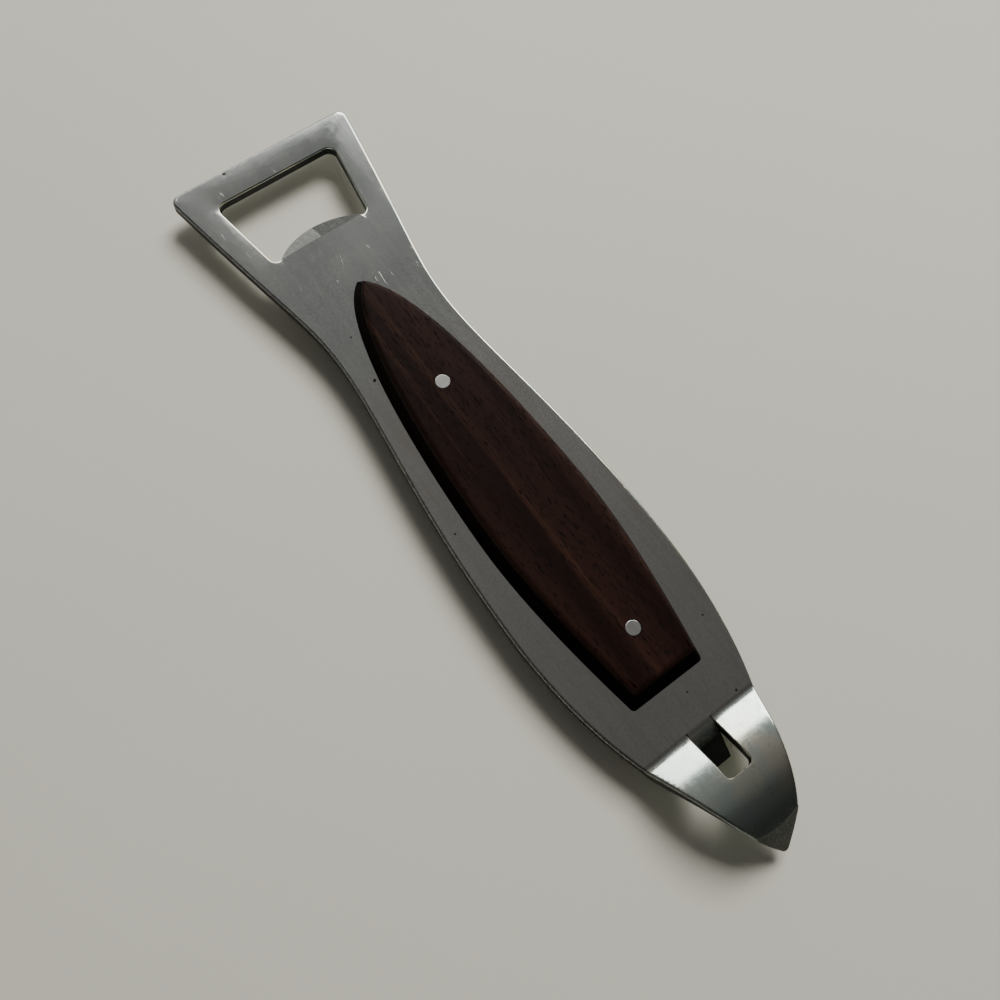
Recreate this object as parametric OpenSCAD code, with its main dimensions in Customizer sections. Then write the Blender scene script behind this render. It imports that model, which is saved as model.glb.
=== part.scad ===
// Bottle opener and can piercer: one steel blade between two wooden scales.
// X runs along the tool towards the piercing point, Y across it, Z up.
// The rear scale's flat face stands on Z = 0.

/* [Blade] */
// Overall length of the tool
length = 171; // [160:1:190]
// Thickness of the sheet steel
plate_t = 2.5; // [2:0.1:3]
// Width of the head at the square bottle end
head_w = 42; // [38:1:46]
// Radius of the two corners of the head
head_r = 1.8; // [1:0.1:5]
// Width of the narrow neck behind the bottle mouth
neck_w = 26; // [22:1:30]
// Greatest width of the blade, under the wooden scales
belly_w = 35.8; // [32:0.2:40]
// Width of the blade where the piercer starts to rise
shoulder_w = 25.6; // [22:0.2:28]

/* [Bottle mouth] */
// Distance from the head's outer edge to the mouth
mouth_x = 6.5; // [5:0.5:9]
// Length of the mouth along the tool
mouth_l = 17.8; // [16:0.1:20]
// Width of the mouth on its outer side
mouth_outer_w = 28.1; // [26:0.1:30]
// Width of the mouth on its inner side, where the lip is
mouth_inner_w = 22.5; // [20:0.1:25]
// Radius of the mouth's corners
mouth_r = 1.8; // [1:0.1:3]
// How far the lip's sharp lower edge stands into the mouth
lip_reach = 4.3; // [3:0.1:5]
// Length of the slope from the top face down to the lip's edge
lip_slope = 4; // [2:0.1:4.2]

/* [Piercer] */
// Distance from the line of the bend to the piercing point
beak_l = 26; // [24:1:30]
// Angle at which the piercer first rises
ramp_angle = 28; // [20:1:35]
// Radius of the outer face of the piercer's arch
arch_r = 16; // [14:0.5:20]
// Distance from the piercing point back to the crest of the arch
crest_l = 14; // [13:0.5:15]
// How far the piercing point hangs below the top face of the plate
point_drop = 4.9; // [4:0.1:5.5]
// Length of the flat that is ground on the outer face at the point
ground_l = 5.7; // [4:0.1:7]
// Radius of the slight crown across the ground flat
ground_r = 35; // [25:5:60]

/* [Hook tongue] */
// Width of the slot, and of the tongue that was cut from it
slot_w = 5.6; // [5:0.1:6.5]
// Length of the slot past the line of the bend
slot_l = 9.2; // [8:0.1:10]
// Angle at which the tongue is bent down
hook_angle = 40; // [30:1:42]
// Length of the tongue
hook_l = 8.9; // [8:0.1:9.1]

/* [Wooden scales] */
// Distance from the head's outer edge to the scales' pointed ends
scale_x = 36.8; // [34:0.1:40]
// Length of the scales
scale_l = 98.9; // [95:0.1:102]
// Greatest width of the scales
scale_w = 24.4; // [22:0.1:26]
// Width of the scales at their square ends
scale_end_w = 16.2; // [14:0.1:18]
// Thickness of each scale
scale_t = 5; // [4:0.5:6]
// How far the sides of the scales slope in
scale_slope = 1.5; // [1:0.1:2]

/* [Pins] */
// Diameter of the two steel pins
pin_d = 3; // [2.5:0.1:4]
// Distance from the head's outer edge to the first pin
pin_x = 66; // [60:1:72]
// Distance between the two pins
pin_pitch = 58; // [50:1:60]

/* [Hidden] */

// Points along each curve and each rounded corner
curve_n = 16;
corner_n = 6;
// Room round a pin in its bores, and beside the tongue in its slot
pin_gap = 0.01;
tongue_gap = 0.15;
// How far a cutting solid runs past what it cuts
over = 1;
$fn = 64;

// Heights of the blade's two faces, and of the whole handle
plate_z = scale_t;
top_z = plate_z + plate_t;
handle_t = top_z + scale_t;

// Where the neck and the belly lie along the tool, and where the piercer's bend is
neck_x = 50;
belly_x = 113;
bend_x = length - beak_l;

// Piercing point in plan: a small round between two straight flanks
point_r = 1.2;
point_flank = 43;
point_c = [length - point_r, 0];
point_start = point_c + point_r * [cos(point_flank), sin(point_flank)];

// Arch of the piercer in side view: a round that its first straight rise runs into
arch_x = length - crest_l;
arch_z = top_z + ((arch_x - bend_x) * sin(ramp_angle) - arch_r) / cos(ramp_angle);
arch_c = [arch_x, arch_z];
point_side = [length, top_z - point_drop];
arch_end = atan2(point_side[1] - arch_z, point_side[0] - arch_x);
bend_r = 2;
bend_c = [bend_x - bend_r * tan(ramp_angle / 2), top_z + bend_r];

// Ground flat at the point, from the arch down to the point
ground_x = length - ground_l;
ground_start = [ground_x, arch_z + sqrt(arch_r * arch_r - pow(ground_x - arch_x, 2))];
ground_angle = atan2(ground_start[1] - point_side[1], ground_l);
ground_w = 30;
ground_h = 10;

// Lip of the mouth: its edge follows a bottle cap, and the slope above it is part of a wide cone
lip_r = 13;
lip_cone_r = 150;
lip_edge_t = 0.25;
lip_x = mouth_x + mouth_l - lip_reach;
lip_taper = lip_slope / (plate_t - lip_edge_t);

// Tongue: bent down round a small radius, then straight
tongue_x = bend_x - 0.7;
tongue_r = 4;
slot_r = 1;

// Height to which a scale's sides stand upright before they slope
scale_side_h = 1.2;
// Widest place of a scale, and how far its top is set back at each end
scale_belly_x = scale_x + 61.2;
scale_nose_slope = 2.6;
scale_end_slope = 2.1;
bore_r = pin_d / 2 + pin_gap;

function bezier(p) = [
    for (i = [0 : curve_n])
        let (t = i / curve_n, s = 1 - t)
        s * s * s * p[0] + 3 * s * s * t * p[1] + 3 * s * t * t * p[2] + t * t * t * p[3]
];

function arc(c, r, from, to, n = curve_n) = [
    for (i = [0 : n])
        let (a = from + (to - from) * i / n)
        c + r * [cos(a), sin(a)]
];

function unit(v) = v / norm(v);
function heading(v) = atan2(v[1], v[0]);
function short_turn(a) = a > 180 ? a - 360 : a < -180 ? a + 360 : a;

// Arc of radius r that takes the place of corner b between a and c
function fillet(a, b, c, r) =
    let (
        u = unit(a - b),
        v = unit(c - b),
        half = acos(u * v) / 2,
        centre = b + unit(u + v) * r / sin(half),
        start = heading(b + u * r / tan(half) - centre),
        turn = short_turn(heading(b + v * r / tan(half) - centre) - start)
    )
    arc(centre, r, start, start + turn, corner_n);

function rounded(p, r) = [
    for (i = [0 : len(p) - 1])
        each fillet(p[(i + len(p) - 1) % len(p)], p[i], p[(i + 1) % len(p)], r)
];

// A closed outline from one that runs along +Y, by adding its mirror image
function both_sides(p) = concat(p, [for (i = [len(p) - 1 : -1 : 0]) [p[i][0], -p[i][1]]]);
function rest(p, from = 1) = [for (i = [from : len(p) - 1]) p[i]];

// Flank of the head, which runs straight before it curves into the neck
head_corner = [0, head_w / 2];
head_flank = [34.8, 15.3];

// One side of the blade in plan: head, neck, belly, shoulder and piercing point
blade_side = concat(
    fillet([0, 0], head_corner, head_flank, head_r),
    rest(bezier([head_corner, head_flank, [neck_x - 11.3, neck_w / 2], [neck_x, neck_w / 2]]), 2),
    rest(bezier([[neck_x, neck_w / 2], [neck_x + 13.7, neck_w / 2],
                 [belly_x - 30, belly_w / 2], [belly_x, belly_w / 2]])),
    rest(bezier([[belly_x, belly_w / 2], [belly_x + 4, belly_w / 2],
                 [bend_x - 13, shoulder_w / 2 + 4.8], [bend_x, shoulder_w / 2]])),
    rest(bezier([[bend_x, shoulder_w / 2], [bend_x + 9, shoulder_w / 2 - 3.4],
                 point_start - 7.5 * [sin(point_flank), -cos(point_flank)], point_start])),
    rest(arc(point_c, point_r, point_flank, 10, corner_n))
);

// One side of a scale in plan: pointed nose, belly and square end
scale_half = scale_w / 2;
scale_end_x = scale_x + scale_l;
scale_side = concat(
    bezier([[scale_x, 0], [scale_x + 6.9, 10.7], [scale_belly_x - 8, scale_half],
            [scale_belly_x, scale_half]]),
    rest(bezier([[scale_belly_x, scale_half], [scale_belly_x + 14.6, scale_half],
                 [scale_end_x - 6, scale_end_w / 2 + 1], [scale_end_x, scale_end_w / 2]]))
);

// The same side drawn in: shorter at both ends, and narrower
top_l = scale_l - scale_nose_slope - scale_end_slope;
scale_top_side = [
    for (p = scale_side)
        [scale_x + scale_nose_slope + (p[0] - scale_x) * top_l / scale_l,
         p[1] * (scale_half - scale_slope) / scale_half]
];

module from_head() {
    translate([-length / 2, 0, 0])
        children();
}

// A side view drawn in X and Z, made solid across the tool
module across(w) {
    rotate([90, 0, 0])
        linear_extrude(w, center = true)
            children();
}

module mouth_outline() {
    polygon(rounded([
        [mouth_x, mouth_outer_w / 2],
        [mouth_x + mouth_l, mouth_inner_w / 2],
        [mouth_x + mouth_l, -mouth_inner_w / 2],
        [mouth_x, -mouth_outer_w / 2]
    ], mouth_r));
}

module slot_outline() {
    slot_end = bend_x + slot_l;
    polygon(concat(
        [[tongue_x, -slot_w / 2]],
        fillet([tongue_x, -slot_w / 2], [slot_end, -slot_w / 2], [slot_end, 0], slot_r),
        fillet([slot_end, 0], [slot_end, slot_w / 2], [tongue_x, slot_w / 2], slot_r),
        [[tongue_x, slot_w / 2]]
    ));
}

module lip() {
    cone_x = lip_x + lip_slope + lip_cone_r;
    intersection() {
        translate([lip_x + lip_r, 0, plate_z - over])
            cylinder(r = lip_r, h = plate_t + 2 * over);
        translate([cone_x, 0, plate_z - over])
            cylinder(
                r1 = lip_cone_r + (plate_t + over) * lip_taper,
                r2 = lip_cone_r - over * lip_taper,
                h = plate_t + 2 * over
            );
    }
}

module mouth() {
    difference() {
        translate([0, 0, plate_z - over])
            linear_extrude(plate_t + 2 * over)
                mouth_outline();
        lip();
    }
}

module blade_side_view() {
    polygon(concat(
        [[-over, plate_z], [-over, top_z]],
        arc(bend_c, bend_r, -90, ramp_angle - 90, corner_n),
        arc(arch_c, arch_r, 90 + ramp_angle, arch_end),
        arc(arch_c, arch_r - plate_t, arch_end, 90 + ramp_angle),
        arc(bend_c, bend_r + plate_t, ramp_angle - 90, -90, corner_n)
    ));
}

module tongue() {
    c = [tongue_x, plate_z - tongue_r];
    down = [cos(hook_angle), -sin(hook_angle)];
    reach = hook_l - (tongue_r + plate_t / 2) * hook_angle * PI / 180;
    outer = arc(c, tongue_r + plate_t, 90, 90 - hook_angle, corner_n);
    inner = arc(c, tongue_r, 90 - hook_angle, 90, corner_n);
    across(slot_w - 2 * tongue_gap)
        polygon(concat(
            [[tongue_x - over, top_z]],
            outer,
            [outer[corner_n] + reach * down, inner[0] + reach * down],
            inner,
            [[tongue_x - over, plate_z]]
        ));
}

module point_grinding() {
    translate([ground_start[0], 0, ground_start[1]])
        rotate([0, ground_angle, 0])
            difference() {
                translate([-ground_l, -ground_w / 2, -ground_h / 2])
                    cube([3 * ground_l, ground_w, ground_h]);
                translate([-ground_l - over, 0, -ground_r])
                    rotate([0, 90, 0])
                        cylinder(r = ground_r, h = 3 * ground_l + 2 * over);
            }
}

module at_each_pin() {
    for (x = [pin_x, pin_x + pin_pitch])
        translate([x, 0, 0])
            children();
}

module pin_bores() {
    at_each_pin()
        translate([0, 0, -over])
            cylinder(r = bore_r, h = handle_t + 2 * over);
}

module pin(x) {
    translate([x, 0, 0])
        cylinder(d = pin_d, h = handle_t);
}

module scale_blank() {
    hull() {
        linear_extrude(scale_side_h)
            polygon(both_sides(scale_side));
        linear_extrude(scale_t)
            polygon(both_sides(scale_top_side));
    }
}

module blade() {
    color([0.62, 0.63, 0.61])
        from_head()
            difference() {
                union() {
                    intersection() {
                        across(head_w + 2 * over)
                            blade_side_view();
                        linear_extrude(handle_t)
                            difference() {
                                polygon(both_sides(blade_side));
                                slot_outline();
                            }
                    }
                    tongue();
                }
                mouth();
                point_grinding();
                pin_bores();
            }
}

module front_scale() {
    color([0.17, 0.1, 0.08])
        from_head()
            difference() {
                translate([0, 0, top_z])
                    scale_blank();
                pin_bores();
            }
}

module rear_scale() {
    color([0.2, 0.12, 0.09])
        from_head()
            difference() {
                translate([0, 0, plate_z])
                    mirror([0, 0, 1])
                        scale_blank();
                pin_bores();
            }
}

module bottle_end_pin() {
    color([0.75, 0.75, 0.73])
        from_head()
            pin(pin_x);
}

module piercer_end_pin() {
    color([0.75, 0.75, 0.73])
        from_head()
            pin(pin_x + pin_pitch);
}

blade();
front_scale();
rear_scale();
bottle_end_pin();
piercer_end_pin();
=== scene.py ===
import math

import bmesh
import bpy
from mathutils import Matrix, Vector


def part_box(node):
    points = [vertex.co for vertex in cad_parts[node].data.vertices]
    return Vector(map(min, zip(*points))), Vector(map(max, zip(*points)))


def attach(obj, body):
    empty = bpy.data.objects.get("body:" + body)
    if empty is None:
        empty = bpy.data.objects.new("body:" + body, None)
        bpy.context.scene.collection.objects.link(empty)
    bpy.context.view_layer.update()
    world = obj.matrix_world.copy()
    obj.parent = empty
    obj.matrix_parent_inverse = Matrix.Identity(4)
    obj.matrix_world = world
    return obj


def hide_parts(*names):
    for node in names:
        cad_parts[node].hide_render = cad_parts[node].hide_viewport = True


# Looks of a bottle opener and can piercer: a satin steel blade between two dark wooden scales.
# Lengths are in millimetres from the head's outer edge along the tool, and become metres at the end.

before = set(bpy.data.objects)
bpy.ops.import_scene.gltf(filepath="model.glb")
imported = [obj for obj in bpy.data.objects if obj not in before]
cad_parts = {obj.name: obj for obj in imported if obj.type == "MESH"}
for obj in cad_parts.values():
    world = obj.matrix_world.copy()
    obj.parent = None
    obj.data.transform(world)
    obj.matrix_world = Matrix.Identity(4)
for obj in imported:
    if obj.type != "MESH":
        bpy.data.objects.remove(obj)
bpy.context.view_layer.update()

MM = 0.001
blade_low, blade_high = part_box("blade")
front_low, front_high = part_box("front_scale")
rear_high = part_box("rear_scale")[1]

HEAD_EDGE = blade_low.x / MM
LENGTH = (blade_high.x - blade_low.x) / MM
TOP_Z = front_low.z / MM
PLATE_Z = rear_high.z / MM
PLATE_T = TOP_Z - PLATE_Z
SCALE_T = (front_high.z - front_low.z) / MM
HANDLE_T = front_high.z / MM

# Outline of the blade
HEAD_W = 42.0
HEAD_R = 1.8
NECK = (50.0, 13.0)
BELLY = (113.0, 17.9)
BEND_X = LENGTH - 26.0
SHOULDER = (BEND_X, 12.8)
POINT_R = 1.2
POINT_FLANK = math.radians(43)

# Bottle mouth: a trapezoid whose inner side is the lip
MOUTH_X = 6.5
MOUTH_L = 17.8
MOUTH_OUTER_W = 28.1
MOUTH_INNER_W = 22.5
MOUTH_R = 1.8
LIP_X = 20.0
LIP_R = 13.0
LIP_SPREAD = math.radians(46)

# The lip's slope is filed in two flats, which start on the top face and leave a thin edge
LIP_TOP_X = 24.0
LIP_EDGE_T = 0.25
LIP_FLAT_TURN = math.radians(1.2)

# Gentle dish round the mouth, deepest at its outer side
DISH_X = 3.5
DISH_END_X = MOUTH_X + MOUTH_L + 2.0
DISH_OUTER_W = 31.6
DISH_INNER_W = 26.0
DISH_R = 3.2
DISH_DEPTH = 0.22

# Piercer in side view: a small bend, a straight rise and an arch
RAMP = math.radians(28)
BEND_R = 1.3
ARCH_R = 16.0
ARCH_X = LENGTH - 14.0
POINT_DROP = 4.9
GROUND_L = 5.7
GROUND_R = 35.0

# Hook tongue and its slot
TONGUE_X = BEND_X - 0.7
SLOT_W = 5.6
SLOT_END = BEND_X + 9.2
SLOT_R = 1.0
TONGUE_GAP = 0.05
TONGUE_L = 8.9
TONGUE_R = 4.0
TONGUE_ROOT = -0.6
TONGUE_STEP = 0.35
TONGUE_SHADE_FADE = 3.0
TONGUE_SINK = 0.01
HOOK = math.radians(40)

# Wooden scales
SCALE_X = front_low.x / MM - HEAD_EDGE
SCALE_L = (front_high.x - front_low.x) / MM
SCALE_HALF = (front_high.y - front_low.y) / MM / 2
SCALE_BELLY_X = SCALE_X + 61.2
SCALE_END_HALF = 8.1
SCALE_SIDE_SLOPE = 1.5
SCALE_NOSE_SLOPE = 2.6
SCALE_END_SLOPE = 2.1

# The two pins
PIN_R = (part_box("bottle_end_pin")[1].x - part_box("bottle_end_pin")[0].x) / MM / 2
PINS = ("bottle_end_pin", "piercer_end_pin")
PIN_PLACES = [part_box(name)[0].x / MM + PIN_R - HEAD_EDGE for name in PINS]

# Finishing of the edges
RIM_R = 0.55
LOWER_RIM_R = 0.2
MOUTH_RIM_R = 0.35
SLOT_RIM_R = 0.25
TONGUE_RIM_R = 0.15
WOOD_EDGE_R = 1.2
PIN_EDGE_R = 0.18
RING_GAP = 0.07

# How dull and dark the steel is made: cut walls partly for their unpolished finish and partly as painted
# shade of the dark they mirror; lower edges, the -Y side's rims and the lip flats as painted shade; the
# ground flat at the point is simply made dark
CUT_AND_SHADE_DULL = 0.97
SHADED_RIM_DULL = 0.6
GROUND_DARKNESS = 0.9
LIP_FLAT_SHADES = (0.45, 0.85)

# Edges that turn more than this are sharp: shaded so, and rounded where a rim is finished
SHARP = math.radians(30)
# A face this close to upright, by the height of its normal, is a cut wall
UPRIGHT = 0.1

# Steps along a curve and a rounded corner, and cuts across the piercer in each millimetre
CURVE_STEPS = 20
CORNER_STEPS = 6
BEND_CUTS = 2


# ---------------------------------------------------------------- outlines

def bezier(p, steps=CURVE_STEPS):
    """Points along a cubic curve, with both ends."""
    points = []
    for i in range(steps + 1):
        t = i / steps
        s = 1 - t
        weights = (s ** 3, 3 * s * s * t, 3 * s * t * t, t ** 3)
        points.append(tuple(sum(w * q[k] for w, q in zip(weights, p)) for k in (0, 1)))
    return points


def arc(centre, radius, start, end, steps=CORNER_STEPS):
    """Points along an arc, with both ends."""
    angles = [start + (end - start) * i / steps for i in range(steps + 1)]
    return [(centre[0] + radius * math.cos(a), centre[1] + radius * math.sin(a)) for a in angles]


def fillet(before, corner, after, radius):
    """The arc that takes the place of a corner."""
    c = Vector(corner)
    u = (Vector(before) - c).normalized()
    v = (Vector(after) - c).normalized()
    half = u.angle(v) / 2
    centre = c + (u + v).normalized() * radius / math.sin(half)
    start = c + u * radius / math.tan(half) - centre
    end = c + v * radius / math.tan(half) - centre
    turn = start.angle_signed(end)
    first = math.atan2(start.y, start.x)
    return arc(centre, radius, first, first - turn)


def both_sides(side):
    """A closed outline from the points of its +Y side."""
    return side + [(x, -y) for x, y in reversed(side) if abs(y) > 1e-6]


def blade_side():
    """Head, neck, belly, shoulder and piercing point, in plan."""
    corner = (0, HEAD_W / 2)
    flank = (34.8, 15.3)
    point_centre = (LENGTH - POINT_R, 0)
    point_arc = arc(point_centre, POINT_R, POINT_FLANK, 0, 4)
    start = point_arc[0]
    into_point = (start[0] - 7.5 * math.sin(POINT_FLANK), start[1] + 7.5 * math.cos(POINT_FLANK))
    return (
        fillet((0, 0), corner, flank, HEAD_R)
        + bezier([corner, flank, (NECK[0] - 11.3, NECK[1]), NECK])[2:]
        + bezier([NECK, (NECK[0] + 13.7, NECK[1]), (BELLY[0] - 30, BELLY[1]), BELLY])[1:]
        + bezier([BELLY, (BELLY[0] + 4, BELLY[1]), (BEND_X - 13, SHOULDER[1] + 4.8), SHOULDER])[1:]
        + bezier([SHOULDER, (BEND_X + 9, SHOULDER[1] - 3.4), into_point, start], 30)[1:]
        + point_arc[1:]
    )


def mouth_loop():
    """The bottle mouth, with the lip's arc as its inner side."""
    outer = (MOUTH_X, MOUTH_OUTER_W / 2)
    inner = (MOUTH_X + MOUTH_L, MOUTH_INNER_W / 2)
    lip = arc((LIP_X + LIP_R, 0), LIP_R, math.pi - LIP_SPREAD, math.pi, 14)
    return both_sides(
        [(MOUTH_X, 0)]
        + fillet((MOUTH_X, 0), outer, inner, MOUTH_R)
        + fillet(outer, inner, (MOUTH_X + MOUTH_L, 0), MOUTH_R)
        + lip
    )


def dish_loop():
    """The line on the top face where the dish round the mouth starts."""
    outer = (DISH_X, DISH_OUTER_W / 2)
    inner = (DISH_END_X, DISH_INNER_W / 2)
    return both_sides(
        [(DISH_X, 0)]
        + fillet((DISH_X, 0), outer, inner, DISH_R)
        + fillet(outer, inner, (DISH_END_X, 0), DISH_R)
        + [(DISH_END_X, 0)]
    )


def slot_loop():
    """The slot that the tongue was cut from."""
    half = SLOT_W / 2
    side = [(TONGUE_X, half)] + fillet((TONGUE_X, half), (SLOT_END, half), (SLOT_END, 0), SLOT_R)
    return both_sides(side)


def bore_loop(x, radius):
    """A round hole on the tool's middle line."""
    return arc((x, 0), radius, 0, 2 * math.pi, 48)[:-1]


def scale_side():
    """Pointed nose, belly and square end of a scale, in plan."""
    belly = (SCALE_BELLY_X, SCALE_HALF)
    end = (SCALE_X + SCALE_L, SCALE_END_HALF)
    nose = bezier([(SCALE_X, 0), (SCALE_X + 6.9, 10.7), (belly[0] - 8, belly[1]), belly], 32)
    tail = bezier([belly, (belly[0] + 14.6, belly[1]), (end[0] - 6, end[1] + 1), end])
    return nose + tail[1:-1] + fillet(tail[-2], end, (end[0], 0), 0.9)


# ---------------------------------------------------------------- shaping

def sheet(bm, loops):
    """A flat face on Z = 0 that fills the first loop and leaves the others open."""
    edges = []
    for loop in loops:
        verts = [bm.verts.new((x, y, 0)) for x, y in loop]
        edges += [bm.edges.new(pair) for pair in zip(verts, verts[1:] + verts[:1])]
    bmesh.ops.triangle_fill(bm, edges=edges, use_beauty=True, normal=(0, 0, 1))


def cut_across(bm, places):
    """Cuts the mesh with a plane across the tool at each place."""
    for x in places:
        everything = bm.verts[:] + bm.edges[:] + bm.faces[:]
        bmesh.ops.bisect_plane(bm, geom=everything, plane_co=(x, 0, 0), plane_no=(1, 0, 0))


def thicken(bm, height):
    """Gives the flat face a thickness, up or down."""
    made = bmesh.ops.extrude_face_region(bm, geom=bm.faces[:])["geom"]
    moved = [v for v in made if isinstance(v, bmesh.types.BMVert)]
    bmesh.ops.translate(bm, verts=moved, vec=(0, 0, height))
    bmesh.ops.recalc_face_normals(bm, faces=bm.faces[:])


def is_rim(edge):
    """An edge between a broad face and a side wall."""
    a, b = edge.verts
    level = abs(a.co.z - b.co.z) < 1e-4
    return level and edge.is_manifold and edge.calc_face_angle() > SHARP


def in_bore(edge):
    """An edge on the wall of a pin's bore."""
    flat = [Vector((v.co.x, v.co.y)) for v in edge.verts]
    return any(abs((p - Vector((x, 0))).length - PIN_R) < 0.2 for p in flat for x in PIN_PLACES)


def on_lip(vert):
    """A vertex of the lip, from its thin edge to the top of its slope."""
    spread = LIP_R * math.sin(LIP_SPREAD)
    return LIP_X - 1 < vert.co.x < MOUTH_X + MOUTH_L - 0.01 and abs(vert.co.y) < spread + 0.01


def on_slot(vert):
    """A vertex of the slot in the flat blank."""
    slot_start = unrolled(TONGUE_X) - 0.01
    return slot_start < vert.co.x < unrolled(SLOT_END) + 0.01 and abs(vert.co.y) < SLOT_W / 2 + 0.01


def at_root(edge):
    """The root of the hook tongue, where its faces run on from the blade's."""
    return all(abs(v.co.x - TONGUE_X) < 0.01 for v in edge.verts)


def on_mouth(vert):
    """A vertex of the bottle mouth, with its lip."""
    inside = DISH_X + 1 < vert.co.x < MOUTH_X + MOUTH_L + 1
    return inside and abs(vert.co.y) < (MOUTH_OUTER_W + 1) / 2


def mark(faces, layer, value):
    """Gives faces a value that the materials read."""
    for face in faces:
        for loop in face.loops:
            loop[layer] = value


def cut_flat(bm, faces, place, normal):
    """Cuts off what stands above a plane and closes the cut with flat faces."""
    edges = {e for f in faces for e in f.edges}
    verts = {v for f in faces for v in f.verts}
    cut = bmesh.ops.bisect_plane(
        bm, geom=list(faces) + list(edges) + list(verts),
        plane_co=place, plane_no=normal, clear_outer=True,
    )["geom_cut"]
    border = [e for e in cut if isinstance(e, bmesh.types.BMEdge) and e.is_boundary]
    if not border:
        return []
    return bmesh.ops.holes_fill(bm, edges=border, sides=0)["faces"]


def file_lip(bm, dull_and_shade):
    """Files the lip's slope in two flats that meet at its middle."""
    drop = PLATE_T - LIP_EDGE_T
    run = LIP_TOP_X - LIP_X
    # The two flats are painted dark, one darker than the other, as shade that they mirror.
    for turn, tone in zip((LIP_FLAT_TURN, -LIP_FLAT_TURN), LIP_FLAT_SHADES):
        normal = Matrix.Rotation(turn, 3, "Z") @ Vector((-drop, 0, run)).normalized()
        near = [f for f in bm.faces if any(on_lip(v) for v in f.verts)]
        flats = cut_flat(bm, near, (LIP_TOP_X, 0, 0), normal)
        mark(flats, dull_and_shade, tone)
        for edge in {e for f in flats for e in f.edges}:
            edge.smooth = False


def sink_dish(bm):
    """Lets the top face slope gently down to the mouth's rim, less so towards the lip."""
    for v in bm.verts:
        if on_mouth(v) and not on_lip(v) and v.co.z > -PLATE_T / 2:
            inward = min(max((v.co.x - MOUTH_X) / MOUTH_L, 0), 1)
            v.co.z -= DISH_DEPTH * (1 - inward)


def round_rims(bm, rims, radius, segments, worn, dull_and_shade):
    """Rounds edges and marks their new faces as worn bright."""
    made = bmesh.ops.bevel(
        bm, geom=rims, offset=radius, offset_type="OFFSET", segments=segments,
        profile=0.5, affect="EDGES", clamp_overlap=False, material=-1,
    )
    mark(made["faces"], worn, 1.0)
    mark(made["faces"], dull_and_shade, 0.0)


def mark_unpolished(bm, worn, dull_and_shade):
    """Paints the lower edges and the rims of the -Y side dull and dark as painted shade, and makes the
    rim at the head's end dull and dark too.
    """
    for face in bm.faces:
        middle = face.calc_center_median()
        lower = -PLATE_T < middle.z < -PLATE_T / 2
        left = middle.y < 0 and not on_mouth(face.verts[0]) and not on_slot(face.verts[0])
        if face.loops[0][worn] > 0 and (lower or left or middle.x < 0.9 * RIM_R):
            mark([face], worn, 0.0)
            mark([face], dull_and_shade, CUT_AND_SHADE_DULL if lower else SHADED_RIM_DULL)


def side_view(s, depth):
    """Where a point of the flat blank goes once the piercer is bent and arched."""
    bend_start = BEND_X - BEND_R * math.tan(RAMP / 2)
    if s <= bend_start:
        return s, -depth
    turned = (s - bend_start) / BEND_R
    if turned <= RAMP:
        r = BEND_R + depth
        return bend_start + r * math.sin(turned), BEND_R - r * math.cos(turned)
    arch_z = ((ARCH_X - BEND_X) * math.sin(RAMP) - ARCH_R) / math.cos(RAMP)
    rise_x = bend_start + BEND_R * math.sin(RAMP)
    rise_l = (ARCH_X - ARCH_R * math.sin(RAMP) - rise_x) / math.cos(RAMP)
    along = s - bend_start - BEND_R * RAMP
    if along <= rise_l:
        x = rise_x + along * math.cos(RAMP) + depth * math.sin(RAMP)
        z = BEND_R * (1 - math.cos(RAMP)) + along * math.sin(RAMP) - depth * math.cos(RAMP)
        return x, z
    angle = math.pi / 2 + RAMP - (along - rise_l) / ARCH_R
    r = ARCH_R - depth
    return ARCH_X + r * math.cos(angle), arch_z + r * math.sin(angle)


def unrolled(x):
    """The place along the flat blank whose top face ends up at x."""
    low = x
    high = ARCH_X + ARCH_R * 1.3
    while high - low > 1e-6:
        middle = (low + high) / 2
        if side_view(middle, 0)[0] < x:
            low = middle
        else:
            high = middle
    return low


def bend_blade(bm):
    """Bends the flat blank into the piercer."""
    for v in bm.verts:
        x, z = side_view(v.co.x, -v.co.z)
        v.co = (x, v.co.y, z)


def grind_point(bm, dull_and_shade):
    """Cuts the crowned flat on the outer face at the piercing point."""
    arch_z = side_view(unrolled(ARCH_X), 0)[1] - ARCH_R
    start_x = LENGTH - GROUND_L
    start_z = arch_z + math.sqrt(ARCH_R ** 2 - (start_x - ARCH_X) ** 2)
    fall = math.atan2(start_z + POINT_DROP, GROUND_L)
    along = Vector((math.cos(fall), 0, -math.sin(fall)))
    outward = Vector((math.sin(fall), 0, math.cos(fall)))
    crown_centre = Vector((start_x, 0, start_z)) - outward * GROUND_R
    for degrees in range(-14, 15, 4):
        normal = Matrix.Rotation(math.radians(degrees), 3, along) @ outward
        near = [f for f in bm.faces if f.calc_center_median().x > start_x - GROUND_L]
        # The ground flat is made dark.
        mark(cut_flat(bm, near, crown_centre + normal * GROUND_R, normal), dull_and_shade, GROUND_DARKNESS)
    ground = {f for f in bm.faces if abs(f.loops[0][dull_and_shade] - GROUND_DARKNESS) < 1e-3}
    for face in ground:
        for edge in face.edges:
            edge.smooth = all(f in ground for f in edge.link_faces)


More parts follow.
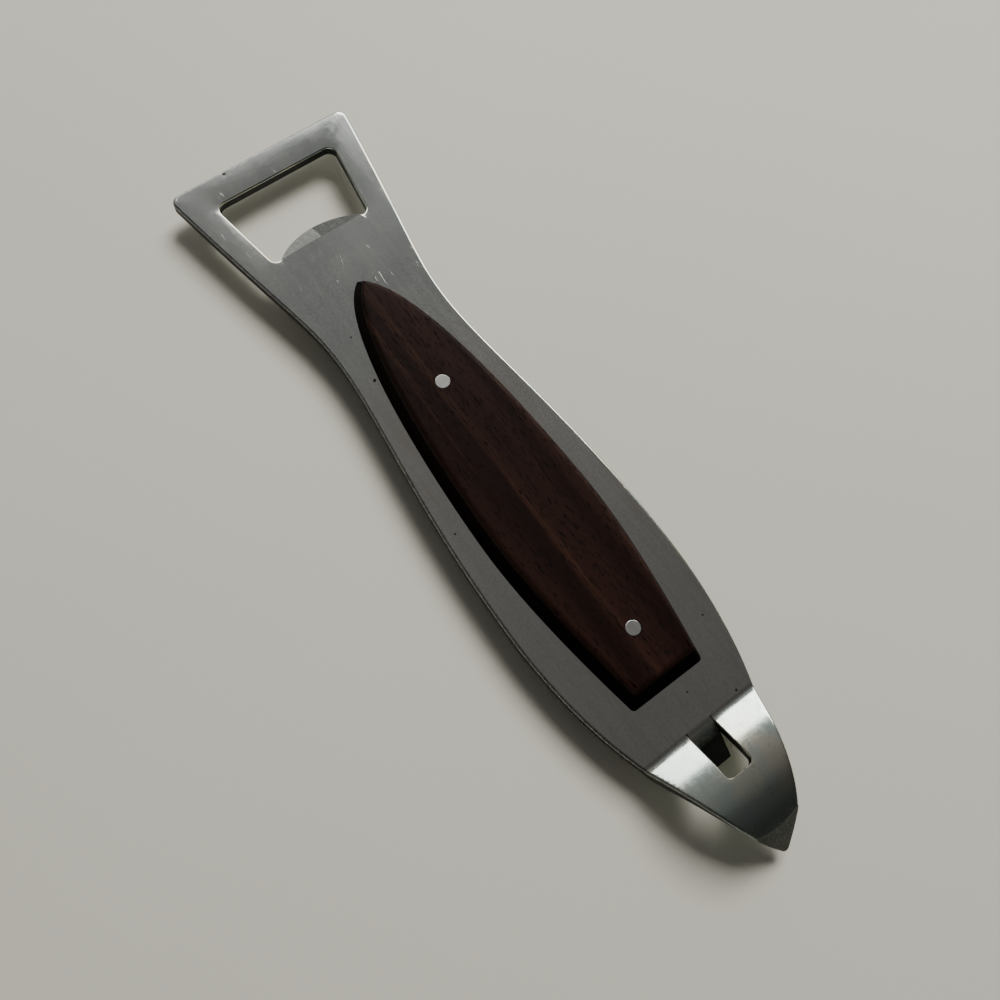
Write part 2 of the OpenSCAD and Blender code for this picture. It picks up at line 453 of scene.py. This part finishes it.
def make_tongue():
    """The hook tongue: a strip that bends down out of the slot, duller and darker away from its root,
    partly tarnish and partly painted shade from under the beak.
    """
    bm = bmesh.new()
    worn = bm.loops.layers.float.new("worn")
    dull_and_shade = bm.loops.layers.float.new("dull_and_shade")
    half = SLOT_W / 2 - TONGUE_GAP
    ends = (TONGUE_ROOT, TONGUE_L)
    sheet(bm, [[(ends[0], -half), (ends[1], -half), (ends[1], half), (ends[0], half)]])
    cut_across(bm, [TONGUE_STEP * i for i in range(15)])
    thicken(bm, -PLATE_T)
    round_rims(bm, [e for e in bm.edges if is_rim(e)], TONGUE_RIM_R, 2, worn, dull_and_shade)
    for face in bm.faces:
        for loop in face.loops:
            loop[worn] = 0.0
            loop[dull_and_shade] = min(max(loop.vert.co.x / TONGUE_SHADE_FADE, 0), 1)
    bend_l = (TONGUE_R + PLATE_T / 2) * HOOK
    for v in bm.verts:
        along, depth = v.co.x, -v.co.z
        turned = min(max(along, 0), bend_l) / bend_l * HOOK
        straight = along - min(max(along, 0), bend_l)
        r = TONGUE_R + PLATE_T - depth
        x = TONGUE_X + r * math.sin(turned) + straight * math.cos(turned)
        z = r * math.cos(turned) - TONGUE_R - PLATE_T - straight * math.sin(turned)
        v.co = (x, v.co.y, z - TONGUE_SINK)
    bmesh.ops.recalc_face_normals(bm, faces=bm.faces[:])
    mesh = bpy.data.meshes.new("tongue_strip")
    bm.to_mesh(mesh)
    bm.free()
    return mesh


def finish_piece(bm, kind, node, material, z):
    """Puts a finished mesh in its place on the tool and gives it a material."""
    bmesh.ops.translate(bm, verts=bm.verts[:], vec=(HEAD_EDGE, 0, z))
    bmesh.ops.scale(bm, verts=bm.verts[:], vec=(MM, MM, MM))
    for face in bm.faces:
        face.smooth = True
    for edge in bm.edges:
        if edge.is_manifold:
            edge.smooth = edge.smooth and edge.calc_face_angle() < SHARP
    name = kind + "_" + node
    mesh = bpy.data.meshes.new(name)
    bm.to_mesh(mesh)
    bm.free()
    mesh.materials.append(material)
    piece = bpy.data.objects.new(name, mesh)
    bpy.context.collection.objects.link(piece)
    even = piece.modifiers.new("even_shading", "WEIGHTED_NORMAL")
    even.keep_sharp = True
    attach(piece, "root")
    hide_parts(node)
    return piece


def make_blade(material):
    """The steel blade: cut flat, filed and rounded, then bent, with its hook tongue added."""
    bm = bmesh.new()
    worn = bm.loops.layers.float.new("worn")
    dull_and_shade = bm.loops.layers.float.new("dull_and_shade")
    outline = [(unrolled(x), y) for x, y in both_sides(blade_side())]
    slot = [(unrolled(x), y) for x, y in slot_loop()]
    bores = [bore_loop(x, PIN_R) for x in PIN_PLACES]
    sheet(bm, [outline, dish_loop(), slot] + bores)
    sheet(bm, [dish_loop(), mouth_loop()])
    bmesh.ops.remove_doubles(bm, verts=bm.verts[:], dist=0.001)
    thicken(bm, -PLATE_T)
    # The side walls: dull for their unpolished cut finish, and darkened as painted shade of the dark
    # they mirror.
    mark([f for f in bm.faces if abs(f.normal.z) < UPRIGHT], dull_and_shade, CUT_AND_SHADE_DULL)
    file_lip(bm, dull_and_shade)

    rims = [e for e in bm.edges if is_rim(e) and not (in_bore(e) or at_root(e))]
    lip = [e for e in rims if all(on_lip(v) for v in e.verts)]
    slot_rims = [e for e in rims if all(on_slot(v) for v in e.verts)]
    mouth_rims = [e for e in rims if all(on_mouth(v) for v in e.verts) and e not in lip]
    outer = [e for e in rims if e not in lip + slot_rims + mouth_rims]
    lower = [e for e in outer + mouth_rims + slot_rims if e.verts[0].co.z < -PLATE_T / 2]
    round_rims(bm, [e for e in outer if e not in lower], RIM_R, 4, worn, dull_and_shade)
    upper_mouth = [e for e in mouth_rims if e.is_valid and e not in lower]
    round_rims(bm, upper_mouth, MOUTH_RIM_R, 3, worn, dull_and_shade)
    upper_slot = [e for e in slot_rims if e.is_valid and e not in lower]
    round_rims(bm, upper_slot, SLOT_RIM_R, 3, worn, dull_and_shade)
    round_rims(bm, [e for e in lower if e.is_valid], LOWER_RIM_R, 2, worn, dull_and_shade)
    mark_unpolished(bm, worn, dull_and_shade)
    sink_dish(bm)

    blank_l = unrolled(LENGTH)
    steps = int((blank_l - BEND_X) * BEND_CUTS)
    cut_across(bm, [BEND_X - 0.8 + (blank_l - BEND_X) * i / steps for i in range(steps)])
    bend_blade(bm)
    grind_point(bm, dull_and_shade)
    tongue = make_tongue()
    bm.from_mesh(tongue)
    bpy.data.meshes.remove(tongue)
    blade = finish_piece(bm, "steel", "blade", material, TOP_Z)
    return blade


def make_scale(name, facing):
    """A wooden scale with its outer face up (facing 1) or down (facing -1)."""
    bm = bmesh.new()
    worn = bm.loops.layers.float.new("worn")
    dull_and_shade = bm.loops.layers.float.new("dull_and_shade")
    bores = [bore_loop(x, PIN_R + RING_GAP) for x in PIN_PLACES]
    sheet(bm, [both_sides(scale_side())] + bores)
    thicken(bm, SCALE_T)
    # The side walls are marked for painted shade in the wood's material.
    mark([f for f in bm.faces if abs(f.normal.z) < UPRIGHT], dull_and_shade, 1.0)
    shorter = SCALE_L - SCALE_NOSE_SLOPE - SCALE_END_SLOPE
    for v in bm.verts:
        at_bore = any((v.co.xy - Vector((x, 0))).length < 2 * PIN_R for x in PIN_PLACES)
        if v.co.z > SCALE_T / 2 and not at_bore:
            v.co.x = SCALE_X + SCALE_NOSE_SLOPE + (v.co.x - SCALE_X) * shorter / SCALE_L
            v.co.y *= (SCALE_HALF - SCALE_SIDE_SLOPE) / SCALE_HALF
    rims = [e for e in bm.edges if is_rim(e) and not in_bore(e) and e.verts[0].co.z > SCALE_T / 2]
    round_rims(bm, rims, WOOD_EDGE_R, 5, worn, dull_and_shade)
    if facing < 0:
        bmesh.ops.scale(bm, verts=bm.verts[:], vec=(1, 1, -1))
        bmesh.ops.reverse_faces(bm, faces=bm.faces[:])
    material = rosewood(name, facing)
    piece = finish_piece(bm, "wood", name, material, TOP_Z if facing > 0 else PLATE_Z)
    return piece


def make_pin(name, x, material):
    """A pin cut flush with both scales, its ends slightly rounded."""
    bm = bmesh.new()
    worn = bm.loops.layers.float.new("worn")
    dull_and_shade = bm.loops.layers.float.new("dull_and_shade")
    bmesh.ops.create_cone(
        bm, cap_ends=True, segments=48, radius1=PIN_R, radius2=PIN_R, depth=HANDLE_T,
        matrix=Matrix.Translation((x, 0, HANDLE_T / 2)),
    )
    rims = [e for e in bm.edges if is_rim(e)]
    round_rims(bm, rims, PIN_EDGE_R, 3, worn, dull_and_shade)
    return finish_piece(bm, "steel", name, material, 0)


# ---------------------------------------------------------------- materials

def new_group(name, inputs, outputs):
    """An empty shader node group with named sockets and its two end nodes."""
    group = bpy.data.node_groups.new(name, "ShaderNodeTree")
    for label, kind, value in inputs:
        socket = group.interface.new_socket(label, in_out="INPUT", socket_type=kind)
        if value is not None:
            socket.default_value = value
    for label, kind in outputs:
        group.interface.new_socket(label, in_out="OUTPUT", socket_type=kind)
    return group, group.nodes.new("NodeGroupInput"), group.nodes.new("NodeGroupOutput")


def add(tree, kind, settings=None, **inputs):
    """A node with its settings made and its inputs set or linked."""
    node = tree.nodes.new(kind)
    for key, value in (settings or {}).items():
        setattr(node, key, value)
    for key, value in inputs.items():
        place(tree, node, key.replace("_", " "), value)
    return node


def place(tree, node, key, value):
    """Links a socket, or sets it to a value. A key that is a number counts the inputs."""
    socket = node.inputs[int(key)] if key.isdigit() else node.inputs[key]
    if isinstance(value, bpy.types.NodeSocket):
        tree.links.new(value, socket)
    else:
        socket.default_value = value


def math_node(tree, operation, a, b=0.0, c=0.0, clamp=False):
    """One step of arithmetic on values or sockets."""
    node = tree.nodes.new("ShaderNodeMath")
    node.operation = operation
    node.use_clamp = clamp
    for i, value in enumerate((a, b, c)):
        place(tree, node, str(i), value)
    return node.outputs[0]


def ramp(tree, value, low, high, to_low=0.0, to_high=1.0, smooth=True):
    """Carries a value from one range to another, and stays inside it."""
    node = tree.nodes.new("ShaderNodeMapRange")
    node.interpolation_type = "SMOOTHSTEP" if smooth else "LINEAR"
    for key, given in zip(range(5), (value, low, high, to_low, to_high)):
        place(tree, node, str(key), given)
    return node.outputs[0]


def noise(tree, vector, scale, detail=3.0, rough=0.5, distort=0.0):
    """Smooth random values round 0.5."""
    node = tree.nodes.new("ShaderNodeTexNoise")
    values = (("Vector", vector), ("Scale", scale), ("Detail", detail),
              ("Roughness", rough), ("Distortion", distort))
    for key, value in values:
        place(tree, node, key, value)
    return node.outputs["Fac"]


def stretched(tree, vector, stretch, turn=(0, 0, 0), shift=(0, 0, 0)):
    """The same places with each axis scaled, so that a pattern is drawn out along the tool."""
    node = tree.nodes.new("ShaderNodeMapping")
    place(tree, node, "Vector", vector)
    place(tree, node, "Location", shift)
    place(tree, node, "Rotation", turn)
    place(tree, node, "Scale", stretch)
    return node.outputs[0]


def mix_colour(tree, factor, a, b, kind="MIX"):
    node = tree.nodes.new("ShaderNodeMix")
    node.data_type = "RGBA"
    node.blend_type = kind
    for key, value in (("0", factor), ("6", a), ("7", b)):
        place(tree, node, key, value)
    return node.outputs[2]


def mix_value(tree, factor, a, b):
    node = tree.nodes.new("ShaderNodeMix")
    for key, value in (("0", factor), ("2", a), ("3", b)):
        place(tree, node, key, value)
    return node.outputs[0]


def attribute(tree, name):
    """A value that the mesh carries."""
    return add(tree, "ShaderNodeAttribute", {"attribute_name": name}).outputs["Fac"]


def place_group(tree, name, **inputs):
    """Places one of the shared effects."""
    node = tree.nodes.new("ShaderNodeGroup")
    node.node_tree = groups[name]
    for key, value in inputs.items():
        place(tree, node, key, value)
    return node


def brushing_group():
    """Fine lines drawn along the tool, with broad uneven patches."""
    group, start, end = new_group(
        "brushing",
        [("Place", "NodeSocketVector", None), ("Fineness", "NodeSocketFloat", 1.0)],
        [("Lines", "NodeSocketFloat"), ("Patches", "NodeSocketFloat")],
    )
    where = start.outputs["Place"]
    fine = noise(group, stretched(group, where, (90, 5200, 5200)), start.outputs["Fineness"], 4.0, 0.6)
    broad = noise(group, stretched(group, where, (30, 900, 900)), start.outputs["Fineness"], 3.0, 0.5)
    lines = math_node(group, "MULTIPLY_ADD", broad, 0.4, math_node(group, "MULTIPLY", fine, 0.6))
    group.links.new(lines, end.inputs["Lines"])
    group.links.new(noise(group, where, 70.0, 3.0, 0.55), end.inputs["Patches"])
    return group


def scratches_group():
    """Sparse thin scratches that lie in one direction."""
    group, start, end = new_group(
        "scratches",
        [("Place", "NodeSocketVector", None), ("Turn", "NodeSocketVector", None),
         ("Amount", "NodeSocketFloat", 0.5)],
        [("Mask", "NodeSocketFloat")],
    )
    turned = group.nodes.new("ShaderNodeMapping")
    place(group, turned, "Vector", start.outputs["Place"])
    place(group, turned, "Rotation", start.outputs["Turn"])
    thin = noise(group, stretched(group, turned.outputs[0], (90, 4200, 1)), 1.0, 1.0, 0.5)
    patch = noise(group, turned.outputs[0], 160.0, 2.0, 0.6)
    line = ramp(group, thin, 0.70, 0.74)
    where = ramp(group, patch, math_node(group, "SUBTRACT", 0.75, start.outputs["Amount"]), 0.8)
    group.links.new(math_node(group, "MULTIPLY", line, where), end.inputs["Mask"])
    return group


def spots_group():
    """A small round mark at one place."""
    group, start, end = new_group(
        "spot",
        [("Place", "NodeSocketVector", None), ("Centre", "NodeSocketVector", None),
         ("Radius", "NodeSocketFloat", 0.0004)],
        [("Mask", "NodeSocketFloat")],
    )
    away = group.nodes.new("ShaderNodeVectorMath")
    away.operation = "DISTANCE"
    group.links.new(start.outputs["Place"], away.inputs[0])
    group.links.new(start.outputs["Centre"], away.inputs[1])
    ragged = noise(group, start.outputs["Place"], 2500.0, 2.0, 0.6)
    edge = math_node(group, "MULTIPLY", start.outputs["Radius"],
                     math_node(group, "MULTIPLY_ADD", ragged, 1.2, 0.4))
    inside = math_node(group, "SUBTRACT", edge, away.outputs["Value"])
    mask = math_node(group, "DIVIDE", inside, math_node(group, "MULTIPLY", edge, 0.4), clamp=True)
    group.links.new(mask, end.inputs["Mask"])
    return group


def new_material(name):
    """An empty procedural material, with its shader and the object's own coordinates."""
    material = bpy.data.materials.new(name)
    material.use_nodes = True
    tree = material.node_tree
    tree.nodes.clear()
    shader = tree.nodes.new("ShaderNodeBsdfPrincipled")
    output = tree.nodes.new("ShaderNodeOutputMaterial")
    tree.links.new(shader.outputs[0], output.inputs[0])
    place_here = tree.nodes.new("ShaderNodeTexCoord").outputs["Object"]
    return material, tree, shader, place_here


def bump(tree, shader, height, distance, strength):
    """Lets a height show in the shading."""
    node = tree.nodes.new("ShaderNodeBump")
    place(tree, node, "Height", height)
    place(tree, node, "Distance", distance)
    place(tree, node, "Strength", strength)
    tree.links.new(node.outputs[0], shader.inputs["Normal"])


# Tones of the steel: satin at the head and at the belly, tinted cool and warm as painted reflection, its
# streaks, polish and scratches, the painted shade at the foot of the ramp, and the dark of cut walls and
# painted shade
COOL_REFLECTION_STEEL = (0.47, 0.505, 0.49, 1)
WARM_REFLECTION_STEEL = (0.50, 0.475, 0.44, 1)
PATCH_STEEL = (0.58, 0.58, 0.56, 1)
STREAK_STEEL = (0.60, 0.605, 0.59, 1)
CLOUD_STEEL = (0.36, 0.35, 0.33, 1)
COOL_POLISH = (0.58, 0.66, 0.62, 1)
WARM_POLISH = (0.72, 0.70, 0.59, 1)
POLISH_STREAK = (0.16, 0.18, 0.17, 1)
SCRATCH_STEEL = (0.8, 0.8, 0.78, 1)
FOOT_SHADE_STEEL = (0.16, 0.165, 0.155, 1)
CUT_AND_SHADE_STEEL = (0.02, 0.02, 0.0195, 1)
MARK_STEEL = (0.03, 0.028, 0.025, 1)
CUT_ROUGH = 0.6
PIN_STEELS = (0.40, 0.40, 0.385, 1), (0.54, 0.54, 0.525, 1)

# Tones of the wood, and the painted shade of its side walls
DARK_WOOD = (0.0105, 0.0045, 0.0033, 1)
BROWN_WOOD = (0.027, 0.0115, 0.0085, 1)
RED_WOOD = (0.066, 0.028, 0.018, 1)
PORE_WOOD = (0.004, 0.003, 0.003, 1)
WALL_SHADE_WOOD = (0.007, 0.0034, 0.0027, 1)

# Scratches: the middle of their densest place, and the turn and amount of each of three sets
SCRATCHED_PLACE = (29, -2)
SCRATCH_SETS = [(0.25, 0.24), (-0.35, 0.2), (0.06, 0.28)]

# Small dark marks on the blade: place along and across the tool, and size
MARKS = [
    (0.9, -8.5, 0.5), (2.1, 15.6, 0.3), (56.6, -9.3, 0.4), (90.7, -14.7, 0.25),
    (46.4, -7.9, 0.25), (143.6, 9.6, 0.28), (129.5, 13.5, 0.2), (138.6, 2.1, 0.2),
]


def on_top_face(x, y):
    """A place on the blade's top face, in the object's own coordinates."""
    return (x + HEAD_EDGE) * MM, y * MM, TOP_Z * MM


def satin_steel():
    """Brushed steel sheet, polished on its rims and on the piercer, dull where it was cut, with painted
    shade on its walls, lower and -Y rims, lip flats, tongue and the foot of the ramp, and painted cool
    and warm reflections at the head and belly.
    """
    material, tree, shader, here = new_material("satin_steel")
    brushing = place_group(tree, "brushing", Place=here)
    lines, patches = brushing.outputs["Lines"], brushing.outputs["Patches"]
    split = add(tree, "ShaderNodeSeparateXYZ", Vector=here)
    bend = (BEND_X + HEAD_EDGE) * MM
    beak = ramp(tree, split.outputs["X"], bend - 0.6 * MM, bend + 0.4 * MM)
    polish = math_node(tree, "MAXIMUM", beak, attribute(tree, "worn"))
    dull_and_shade = attribute(tree, "dull_and_shade")
    # Painted shade: a dark band in the crease at the foot of the ramp.
    past_foot = math_node(tree, "SUBTRACT", split.outputs["X"], bend - 0.5 * MM)
    foot_shade = ramp(tree, math_node(tree, "ABSOLUTE", past_foot), 0.6 * MM, 0.2 * MM)

    near_lip = add(tree, "ShaderNodeVectorMath", {"operation": "DISTANCE"})
    tree.links.new(here, near_lip.inputs[0])
    near_lip.inputs[1].default_value = on_top_face(*SCRATCHED_PLACE)
    denser = ramp(tree, near_lip.outputs["Value"], 10 * MM, 3 * MM, 0.0, 0.12)
    scratch = 0.0
    for turn, amount in SCRATCH_SETS:
        often = math_node(tree, "ADD", denser, amount)
        node = place_group(tree, "scratches", Place=here, Turn=(0, 0, turn), Amount=often)
        scratch = math_node(tree, "MAXIMUM", node.outputs[0], scratch)
    marks = 0.0
    for x, y, radius in MARKS:
        node = place_group(tree, "spot", Place=here, Centre=on_top_face(x, y), Radius=radius * MM)
        marks = math_node(tree, "MAXIMUM", node.outputs[0], marks)

    mottle = noise(tree, here, 2100.0, 4.0, 0.65)
    partly = math_node(tree, "MULTIPLY", dull_and_shade, math_node(tree, "SUBTRACT", 1.0, dull_and_shade))
    spread = math_node(tree, "MULTIPLY", math_node(tree, "SUBTRACT", mottle, 0.5), partly)
    shade_and_cut_mask = math_node(tree, "MULTIPLY_ADD", spread, 4.0, dull_and_shade, clamp=True)
    cool_end, warm_start = ((NECK[0] + x + HEAD_EDGE) * MM for x in (-10, 25))
    # Painted reflection: cooler steel at the head and warmer at the belly, as from a cool window and a
    # warm ceiling.
    warm_reflection = ramp(tree, split.outputs["X"], cool_end, warm_start)
    even = mix_colour(tree, warm_reflection, COOL_REFLECTION_STEEL, WARM_REFLECTION_STEEL)
    satin = mix_colour(tree, ramp(tree, patches, 0.35, 0.65, 0.0, 0.3), even, PATCH_STEEL)
    streaked = mix_colour(tree, ramp(tree, lines, 0.35, 0.65, 0.0, 0.5), satin, STREAK_STEEL)
    clouded = mix_colour(tree, ramp(tree, mottle, 0.4, 0.65, 0.0, 0.3), streaked, CLOUD_STEEL)
    tinted = mix_colour(tree, ramp(tree, patches, 0.42, 0.58), COOL_POLISH, WARM_POLISH)
    shiny = mix_colour(tree, ramp(tree, lines, 0.54, 0.68, 0.0, 0.5), tinted, POLISH_STREAK)
    bright = mix_colour(tree, polish, clouded, shiny)
    scratched = mix_colour(tree, math_node(tree, "MULTIPLY", scratch, 0.5), bright, SCRATCH_STEEL)
    foot_shaded = mix_colour(tree, math_node(tree, "MULTIPLY", foot_shade, 0.4), scratched, FOOT_SHADE_STEEL)
    # Darkening of the cut walls for finish and painted shade, of the lower and -Y rims, lip flats and
    # tongue as painted shade, and of the ground flat.
    cut = mix_colour(tree, shade_and_cut_mask, foot_shaded, CUT_AND_SHADE_STEEL)
    tree.links.new(mix_colour(tree, marks, cut, MARK_STEEL), shader.inputs["Base Color"])

    shader.inputs["Metallic"].default_value = 1.0
    satin_rough = ramp(tree, patches, 0.3, 0.7, 0.125, 0.15)
    uneven = math_node(tree, "MULTIPLY_ADD", lines, 0.06, satin_rough)
    polished = math_node(tree, "MULTIPLY_ADD", lines, 0.34, ramp(tree, mottle, 0.4, 0.7, 0.02, 0.07))
    smooth = mix_value(tree, polish, uneven, polished)
    tree.links.new(mix_value(tree, shade_and_cut_mask, smooth, CUT_ROUGH), shader.inputs["Roughness"])
    height = math_node(tree, "SUBTRACT", lines, math_node(tree, "MULTIPLY_ADD", scratch, 0.5, marks))
    bump(tree, shader, height, 0.00003, 0.4)
    return material


def flush_steel():
    """Ends of the pins, sanded flush with the wood."""
    material, tree, shader, here = new_material("flush_steel")
    lines = noise(tree, stretched(tree, here, (400, 6000, 6000)), 1.0, 3.0)
    patch = noise(tree, here, 900.0, 2.0)
    tree.links.new(mix_colour(tree, patch, *PIN_STEELS), shader.inputs["Base Color"])
    shader.inputs["Metallic"].default_value = 1.0
    tree.links.new(math_node(tree, "MULTIPLY_ADD", lines, 0.2, 0.3), shader.inputs["Roughness"])
    bump(tree, shader, lines, 0.00003, 0.4)
    return material


def rosewood(name, facing):
    """Very dark wood with reddish streaks and fine grain, matt on its walls, which are painted darker as
    shade.
    """
    material, tree, shader, here = new_material(name + "_rosewood")
    shift = (0.0, 0.0, 0.0) if facing > 0 else (0.31, 0.17, 0.0)
    grain = place_group(tree, "wood_grain", Place=here, Shift=shift)
    wall = attribute(tree, "dull_and_shade")
    wall_shaded = mix_colour(tree, wall, grain.outputs["Colour"], WALL_SHADE_WOOD)
    tree.links.new(wall_shaded, shader.inputs["Base Color"])
    rough = mix_value(tree, wall, grain.outputs["Roughness"], 1.0)
    tree.links.new(rough, shader.inputs["Roughness"])
    shader.inputs["Specular IOR Level"].default_value = 0.08
    bump(tree, shader, grain.outputs["Height"], 0.00012, 0.6)
    return material


def wood_grain_group():
    """Streaks, bands, fibres and open pores drawn out along the tool."""
    group, start, end = new_group(
        "wood_grain",
        [("Place", "NodeSocketVector", None), ("Shift", "NodeSocketVector", None)],
        [("Colour", "NodeSocketColor"), ("Roughness", "NodeSocketFloat"), ("Height", "NodeSocketFloat")],
    )
    moved = group.nodes.new("ShaderNodeVectorMath")
    group.links.new(start.outputs["Place"], moved.inputs[0])
    group.links.new(start.outputs["Shift"], moved.inputs[1])
    here = moved.outputs[0]
    streaks = noise(group, stretched(group, here, (9, 260, 190)), 1.0, 4.0, 0.55, 0.35)
    bands = noise(group, stretched(group, here, (5, 110, 90)), 1.0, 2.0, 0.5, 0.5)
    fibres = noise(group, stretched(group, here, (60, 3600, 3600)), 1.0, 3.0, 0.6)
    pores = noise(group, stretched(group, here, (620, 4600, 3000)), 1.0, 1.0, 0.4)
    pore = ramp(group, pores, 0.61, 0.67)
    base = mix_colour(group, ramp(group, bands, 0.38, 0.62), DARK_WOOD, BROWN_WOOD)
    streaked = mix_colour(group, ramp(group, streaks, 0.50, 0.72), base, RED_WOOD)
    fibrous = mix_colour(group, ramp(group, fibres, 0.3, 0.7, 0.0, 0.35), streaked, DARK_WOOD)
    poked = mix_colour(group, math_node(group, "MULTIPLY", pore, 0.85), fibrous, PORE_WOOD)
    group.links.new(poked, end.inputs["Colour"])
    rough = math_node(group, "MULTIPLY_ADD", pore, 0.25, ramp(group, fibres, 0.3, 0.7, 0.42, 0.54))
    group.links.new(rough, end.inputs["Roughness"])
    height = math_node(group, "SUBTRACT", math_node(group, "MULTIPLY", fibres, 0.3), pore)
    group.links.new(height, end.inputs["Height"])
    return group


# ---------------------------------------------------------------- surroundings

FLOOR_TONES = (0.77, 0.75, 0.65, 1), (0.80, 0.78, 0.68, 1)
LAMP_COLOUR = (1.0, 0.99, 0.96)
ROOM_COLOUR = (1.0, 0.985, 0.955, 1)
# The way from the tool to the glow above the window
GLOW_WAY = (-0.58, 0.33, 0.745)


def make_floor():
    """A plain pale floor, far wider than the tool."""
    bm = bmesh.new()
    bmesh.ops.create_grid(bm, x_segments=1, y_segments=1, size=2.0)
    mesh = bpy.data.meshes.new("floor")
    bm.to_mesh(mesh)
    bm.free()
    material, tree, shader, here = new_material("pale_floor")
    tone = mix_colour(tree, noise(tree, here, 12.0, 2.0), *FLOOR_TONES)
    tree.links.new(tone, shader.inputs["Base Color"])
    shader.inputs["Roughness"].default_value = 0.9
    mesh.materials.append(material)
    floor = bpy.data.objects.new("floor", mesh)
    bpy.context.collection.objects.link(floor)


def make_lamp(name, azimuth, elevation, distance, size, watts):
    """A soft rectangular light that faces the tool."""
    azimuth, elevation = math.radians(azimuth), math.radians(elevation)
    towards = Vector((
        math.cos(azimuth) * math.cos(elevation),
        math.sin(azimuth) * math.cos(elevation),
        math.sin(elevation),
    ))
    lamp = bpy.data.lights.new(name, "AREA")
    lamp.shape = "RECTANGLE"
    lamp.size, lamp.size_y = size
    lamp.energy = watts
    lamp.color = LAMP_COLOUR
    light = bpy.data.objects.new(name, lamp)
    light.location = towards * distance
    light.rotation_euler = towards.to_track_quat("Z", "Y").to_euler()
    bpy.context.collection.objects.link(light)
    return light


def make_lights():
    """A high soft key for the shadows, and a low window that only shows in the gloss."""
    key = make_lamp("key", azimuth=124, elevation=54, distance=1.0, size=(0.5, 0.5), watts=10.2)
    key.visible_glossy = False
    window = make_lamp("window", azimuth=145, elevation=31, distance=0.8, size=(1.2, 0.36), watts=9.4)
    window.visible_diffuse = False


def make_room():
    """Dim surroundings: a soft ceiling, a glow above the window and a darker wall beyond the point."""
    world = bpy.data.worlds.new("room")
    bpy.context.scene.world = world
    world.use_nodes = True
    tree = world.node_tree
    tree.nodes.clear()
    way = tree.nodes.new("ShaderNodeTexCoord").outputs["Generated"]
    split = add(tree, "ShaderNodeSeparateXYZ", Vector=way)
    ceiling = ramp(tree, split.outputs["Z"], 0.45, 0.92, 0.07, 0.15)
    facing = add(tree, "ShaderNodeVectorMath", {"operation": "DOT_PRODUCT"})
    tree.links.new(way, facing.inputs[0])
    facing.inputs[1].default_value = GLOW_WAY
    end_wall = ramp(tree, split.outputs["X"], 0.0, 0.5, 1.0, 0.35)
    ceiling = math_node(tree, "MULTIPLY", ceiling, end_wall)
    glow = math_node(tree, "ADD", ceiling, ramp(tree, facing.outputs["Value"], 0.80, 0.98, 0.0, 0.075))
    background = tree.nodes.new("ShaderNodeBackground")
    background.inputs["Color"].default_value = ROOM_COLOUR
    tree.links.new(glow, background.inputs["Strength"])
    output = tree.nodes.new("ShaderNodeOutputWorld")
    tree.links.new(background.outputs[0], output.inputs[0])


def make_camera():
    """Looks down on the tool from above its piercer end, on its -Y side."""
    data = bpy.data.cameras.new("camera")
    data.sensor_width = 36.0
    data.lens = 36.0
    data.clip_start = 0.01
    camera = bpy.data.objects.new("camera", data)
    camera.location = (0.04376, -0.05074, 0.18510)
    camera.rotation_euler = [math.radians(a) for a in (18.419, -4.615, 53.443)]
    bpy.context.collection.objects.link(camera)
    bpy.context.scene.camera = camera


groups = {
    "brushing": brushing_group(),
    "scratches": scratches_group(),
    "spot": spots_group(),
    "wood_grain": wood_grain_group(),
}
make_camera()
make_lights()
make_room()
make_floor()

make_blade(satin_steel())
make_scale("front_scale", 1)
make_scale("rear_scale", -1)
pin_finish = flush_steel()
for pin_name, pin_place in zip(PINS, PIN_PLACES):
    make_pin(pin_name, pin_place, pin_finish)
